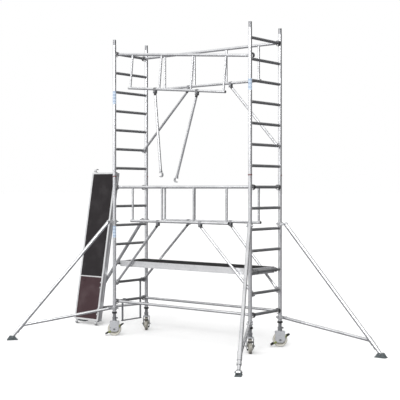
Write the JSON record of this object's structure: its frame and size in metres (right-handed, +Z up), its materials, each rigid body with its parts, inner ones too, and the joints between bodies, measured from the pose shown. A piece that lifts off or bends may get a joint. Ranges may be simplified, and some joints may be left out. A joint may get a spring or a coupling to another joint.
{
  "type": "mobile scaffold tower",
  "caption": "Tall narrow aluminium scaffold tower on braked castors, with ladder ends, guard frames, a deck, splayed stabilisers and a spare trapdoor deck.",
  "frame": {"origin": "middle of the bounding box's footprint, on the floor; the tower's own centre line stands 0.51 m behind it", "axes": "+X along the tower towards the right end frame, +Y to the rear, +Z up"},
  "size_m": [5.5578, 2.374, 4.345],
  "materials": {
    "aluminium": "bright drawn tube",
    "black_plastic": "moulded black nylon",
    "cast_alloy": "cast, dull",
    "cream_wheel": "cream polyurethane",
    "foot_pad": "dark grey rubber on a cast foot",
    "grey_housing": "light grey pressed steel",
    "label": "pale blue film without lettering",
    "pedal": "yellow-green with a dark tip",
    "ply_black": "phenolic-faced plywood, black-brown",
    "ply_brown": "phenolic-faced plywood, brown",
    "red_steel": "painted spring steel",
    "zinc_steel": "zinc plated"
  },
  "bodies": {
    "tower": {"lower_left_frame": "aluminium", "lower_right_frame": "aluminium", "upper_left_frame": "aluminium", "upper_right_frame": "aluminium", "frame_spigots": "aluminium", "interlock_clips": "red_steel", "adjuster_nuts": "black_plastic", "plan_braces": "aluminium", "lower_front_guard": "aluminium", "lower_rear_guard": "aluminium", "upper_rear_guard": "aluminium", "rung_hooks": "cast_alloy", "pivot_brackets": "cast_alloy", "latches_and_caps": "black_plastic", "deck_frame": "aluminium", "deck_board": "ply_black", "deck_hooks": "cast_alloy", "boarding_step": "aluminium", "post_labels": "label"},
    "upper_front_guard": {"upper_front_guard": "aluminium", "upper_front_guard_fittings": "cast_alloy"},
    "lower_front_diagonal_left": {"lower_front_diagonal_left": "aluminium"},
    "lower_front_diagonal_right": {"lower_front_diagonal_right": "aluminium"},
    "lower_rear_diagonal_left": {"lower_rear_diagonal_left": "aluminium"},
    "lower_rear_diagonal_right": {"lower_rear_diagonal_right": "aluminium"},
    "upper_rear_diagonal_left": {"upper_rear_diagonal_left": "aluminium"},
    "upper_rear_diagonal_right": {"upper_rear_diagonal_right": "aluminium"},
    "upper_front_diagonal_left": {"upper_front_diagonal_left": "aluminium"},
    "upper_front_diagonal_right": {"upper_front_diagonal_right": "aluminium"},
    "castor_leg_fl": {"castor_leg_fl": "zinc_steel"},
    "castor_fork_fl": {"castor_fork_fl": "grey_housing"},
    "castor_wheel_fl": {"castor_wheel_fl": "cream_wheel"},
    "brake_pedal_fl": {"brake_pedal_fl": "pedal"},
    "castor_leg_fr": {"castor_leg_fr": "zinc_steel"},
    "castor_fork_fr": {"castor_fork_fr": "grey_housing"},
    "castor_wheel_fr": {"castor_wheel_fr": "cream_wheel"},
    "brake_pedal_fr": {"brake_pedal_fr": "pedal"},
    "castor_leg_rl": {"castor_leg_rl": "zinc_steel"},
    "castor_fork_rl": {"castor_fork_rl": "grey_housing"},
    "castor_wheel_rl": {"castor_wheel_rl": "cream_wheel"},
    "brake_pedal_rl": {"brake_pedal_rl": "pedal"},
    "castor_leg_rr": {"castor_leg_rr": "zinc_steel"},
    "castor_fork_rr": {"castor_fork_rr": "grey_housing"},
    "castor_wheel_rr": {"castor_wheel_rr": "cream_wheel"},
    "brake_pedal_rr": {"brake_pedal_rr": "pedal"},
    "stabiliser_arm_fl": {"stabiliser_arm_fl": "aluminium"},
    "stabiliser_leg_fl": {"stabiliser_leg_fl": "aluminium"},
    "stabiliser_foot_fl": {"stabiliser_foot_fl": "foot_pad"},
    "stabiliser_arm_fr": {"stabiliser_arm_fr": "aluminium"},
    "stabiliser_leg_fr": {"stabiliser_leg_fr": "aluminium"},
    "stabiliser_foot_fr": {"stabiliser_foot_fr": "foot_pad"},
    "stabiliser_arm_rl": {"stabiliser_arm_rl": "aluminium"},
    "stabiliser_leg_rl": {"stabiliser_leg_rl": "aluminium"},
    "stabiliser_foot_rl": {"stabiliser_foot_rl": "foot_pad"},
    "stabiliser_arm_rr": {"stabiliser_arm_rr": "aluminium"},
    "stabiliser_leg_rr": {"stabiliser_leg_rr": "aluminium"},
    "stabiliser_foot_rr": {"stabiliser_foot_rr": "foot_pad"},
    "spare_deck": {"spare_deck_frame": "aluminium", "spare_deck_board": "ply_black"},
    "spare_deck_hatch": {"spare_deck_hatch": "ply_brown"}
  },
  "joints": [
    {"name": "upper_front_guard_lift_off", "type": "slide", "parent": "tower", "child": "upper_front_guard", "axis": [0, -1, 0], "range_m": [0, 3.5]},
    {"name": "lower_front_diagonal_left_swing", "type": "hinge", "parent": "tower", "child": "lower_front_diagonal_left", "pos_m": [-0.425, 0.215, 1.646], "axis": [0, -1, 0], "range_deg": [0, 16]},
    {"name": "lower_front_diagonal_right_swing", "type": "hinge", "parent": "tower", "child": "lower_front_diagonal_right", "pos_m": [0.345, 0.215, 1.646], "axis": [0, 1, 0], "range_deg": [0, 16]},
    {"name": "lower_rear_diagonal_left_swing", "type": "hinge", "parent": "tower", "child": "lower_rear_diagonal_left", "pos_m": [-0.345, 0.805, 1.646], "axis": [0, -1, 0], "range_deg": [0, 16]},
    {"name": "lower_rear_diagonal_right_swing", "type": "hinge", "parent": "tower", "child": "lower_rear_diagonal_right", "pos_m": [0.425, 0.805, 1.646], "axis": [0, 1, 0], "range_deg": [0, 16]},
    {"name": "upper_rear_diagonal_left_swing", "type": "hinge", "parent": "tower", "child": "upper_rear_diagonal_left", "pos_m": [-0.345, 0.805, 3.606], "axis": [0, -1, 0], "range_deg": [0, 50]},
    {"name": "upper_rear_diagonal_right_swing", "type": "hinge", "parent": "tower", "child": "upper_rear_diagonal_right", "pos_m": [0.425, 0.805, 3.606], "axis": [0, 1, 0], "range_deg": [0, 55]},
    {"name": "upper_front_diagonal_left_swing", "type": "hinge", "parent": "upper_front_guard", "child": "upper_front_diagonal_left", "pos_m": [-0.47902, 0.215, 3.53282], "axis": [0, 1, 0], "range_deg": [-4, 40]},
    {"name": "upper_front_diagonal_right_swing", "type": "hinge", "parent": "upper_front_guard", "child": "upper_front_diagonal_right", "pos_m": [0.28754, 0.215, 3.46009], "axis": [0, -1, 0], "range_deg": [-6, 7]},
    {"name": "castor_leg_fl_adjust", "type": "slide", "parent": "tower", "child": "castor_leg_fl", "axis": [0, 0, -1], "range_m": [0, 0.2]},
    {"name": "castor_fork_fl_swivel", "type": "hinge", "parent": "castor_leg_fl", "child": "castor_fork_fl", "pos_m": [-1.225, 0.16, 0.212], "axis": [0, 0, 1], "continuous": true},
    {"name": "castor_wheel_fl_spin", "type": "hinge", "parent": "castor_fork_fl", "child": "castor_wheel_fl", "pos_m": [-1.225, 0.16, 0.1], "axis": [0.6246, -0.781, 0], "continuous": true},
    {"name": "brake_pedal_fl_rock", "type": "hinge", "parent": "castor_fork_fl", "child": "brake_pedal_fl", "pos_m": [-1.225, 0.16, 0.1], "axis": [-0.6246, 0.781, 0], "range_deg": [0, 50]},
    {"name": "castor_leg_fr_adjust", "type": "slide", "parent": "tower", "child": "castor_leg_fr", "axis": [0, 0, -1], "range_m": [0, 0.2]},
    {"name": "castor_fork_fr_swivel", "type": "hinge", "parent": "castor_leg_fr", "child": "castor_fork_fr", "pos_m": [1.225, 0.16, 0.212], "axis": [0, 0, 1], "continuous": true},
    {"name": "castor_wheel_fr_spin", "type": "hinge", "parent": "castor_fork_fr", "child": "castor_wheel_fr", "pos_m": [1.225, 0.16, 0.1], "axis": [-0.781, -0.6246, 0], "continuous": true},
    {"name": "brake_pedal_fr_rock", "type": "hinge", "parent": "castor_fork_fr", "child": "brake_pedal_fr", "pos_m": [1.225, 0.16, 0.1], "axis": [0.781, 0.6246, 0], "range_deg": [0, 50]},
    {"name": "castor_leg_rl_adjust", "type": "slide", "parent": "tower", "child": "castor_leg_rl", "axis": [0, 0, -1], "range_m": [0, 0.2]},
    {"name": "castor_fork_rl_swivel", "type": "hinge", "parent": "castor_leg_rl", "child": "castor_fork_rl", "pos_m": [-1.225, 0.86, 0.212], "axis": [0, 0, 1], "continuous": true},
    {"name": "castor_wheel_rl_spin", "type": "hinge", "parent": "castor_fork_rl", "child": "castor_wheel_rl", "pos_m": [-1.225, 0.86, 0.1], "axis": [-0.781, -0.6246, 0], "continuous": true},
    {"name": "brake_pedal_rl_rock", "type": "hinge", "parent": "castor_fork_rl", "child": "brake_pedal_rl", "pos_m": [-1.225, 0.86, 0.1], "axis": [0.781, 0.6246, 0], "range_deg": [0, 50]},
    {"name": "castor_leg_rr_adjust", "type": "slide", "parent": "tower", "child": "castor_leg_rr", "axis": [0, 0, -1], "range_m": [0, 0.2]},
    {"name": "castor_fork_rr_swivel", "type": "hinge", "parent": "castor_leg_rr", "child": "castor_fork_rr", "pos_m": [1.225, 0.86, 0.212], "axis": [0, 0, 1], "continuous": true},
    {"name": "castor_wheel_rr_spin", "type": "hinge", "parent": "castor_fork_rr", "child": "castor_wheel_rr", "pos_m": [1.225, 0.86, 0.1], "axis": [0.6246, -0.781, 0], "continuous": true},
    {"name": "brake_pedal_rr_rock", "type": "hinge", "parent": "castor_fork_rr", "child": "brake_pedal_rr", "pos_m": [1.225, 0.86, 0.1], "axis": [-0.6246, 0.781, 0], "range_deg": [0, 50]},
    {"name": "stabiliser_fl_swivel", "type": "hinge", "parent": "tower", "child": "stabiliser_arm_fl", "pos_m": [-1.225, 0.16, 1], "axis": [0, 0, 1], "range_deg": [-25, 25]},
    {"name": "stabiliser_fl_telescope", "type": "slide", "parent": "stabiliser_arm_fl", "child": "stabiliser_leg_fl", "axis": [-0.3726, -0.5321, -0.7603], "range_m": [0, 0.3]},
    {"name": "stabiliser_foot_fl_tilt", "type": "hinge", "parent": "stabiliser_leg_fl", "child": "stabiliser_foot_fl", "pos_m": [-2.07389, -1.05235, 0.042], "axis": [0.8191, -0.5736, 0], "range_deg": [-15, 15]},
    {"name": "stabiliser_fr_swivel", "type": "hinge", "parent": "tower", "child": "stabiliser_arm_fr", "pos_m": [1.225, 0.16, 1], "axis": [0, 0, 1], "range_deg": [-25, 25]},
    {"name": "stabiliser_fr_telescope", "type": "slide", "parent": "stabiliser_arm_fr", "child": "stabiliser_leg_fr", "axis": [0.3287, -0.5603, -0.7603], "range_m": [0, 0.3]},
    {"name": "stabiliser_foot_fr_tilt", "type": "hinge", "parent": "stabiliser_leg_fr", "child": "stabiliser_foot_fr", "pos_m": [1.97393, -1.11652, 0.042], "axis": [0.8625, 0.506, 0], "range_deg": [-15, 15]},
    {"name": "stabiliser_rl_swivel", "type": "hinge", "parent": "tower", "child": "stabiliser_arm_rl", "pos_m": [-1.225, 0.86, 1], "axis": [0, 0, 1], "range_deg": [-40, 0]},
    {"name": "stabiliser_rl_telescope", "type": "slide", "parent": "stabiliser_arm_rl", "child": "stabiliser_leg_rl", "axis": [-0.648, 0.0453, -0.7603], "range_m": [0, 0.3]},
    {"name": "stabiliser_foot_rl_tilt", "type": "hinge", "parent": "stabiliser_leg_rl", "child": "stabiliser_foot_rl", "pos_m": [-2.70139, 0.96324, 0.042], "axis": [-0.0698, -0.9976, 0], "range_deg": [-15, 15]},
    {"name": "stabiliser_rr_swivel", "type": "hinge", "parent": "tower", "child": "stabiliser_arm_rr", "pos_m": [1.225, 0.86, 1], "axis": [0, 0, 1], "range_deg": [-25, 40]},
    {"name": "stabiliser_rr_telescope", "type": "slide", "parent": "stabiliser_arm_rr", "child": "stabiliser_leg_rr", "axis": [0.648, 0.0453, -0.7603], "range_m": [0, 0.3]},
    {"name": "stabiliser_foot_rr_tilt", "type": "hinge", "parent": "stabiliser_leg_rr", "child": "stabiliser_foot_rr", "pos_m": [2.70139, 0.96324, 0.042], "axis": [-0.0698, 0.9976, 0], "range_deg": [-15, 15]},
    {"name": "spare_deck_tilt", "type": "hinge", "parent": "tower", "child": "spare_deck", "pos_m": [-2.35, 0.70939, 0.034], "axis": [1, 0, 0], "range_deg": [0, 9]},
    {"name": "spare_deck_hatch_swing", "type": "hinge", "parent": "spare_deck", "child": "spare_deck_hatch", "pos_m": [-2.1233, 0.87681, 1.24838], "axis": [0, 0.1736, 0.9848], "range_deg": [0, 85]}
  ]
}
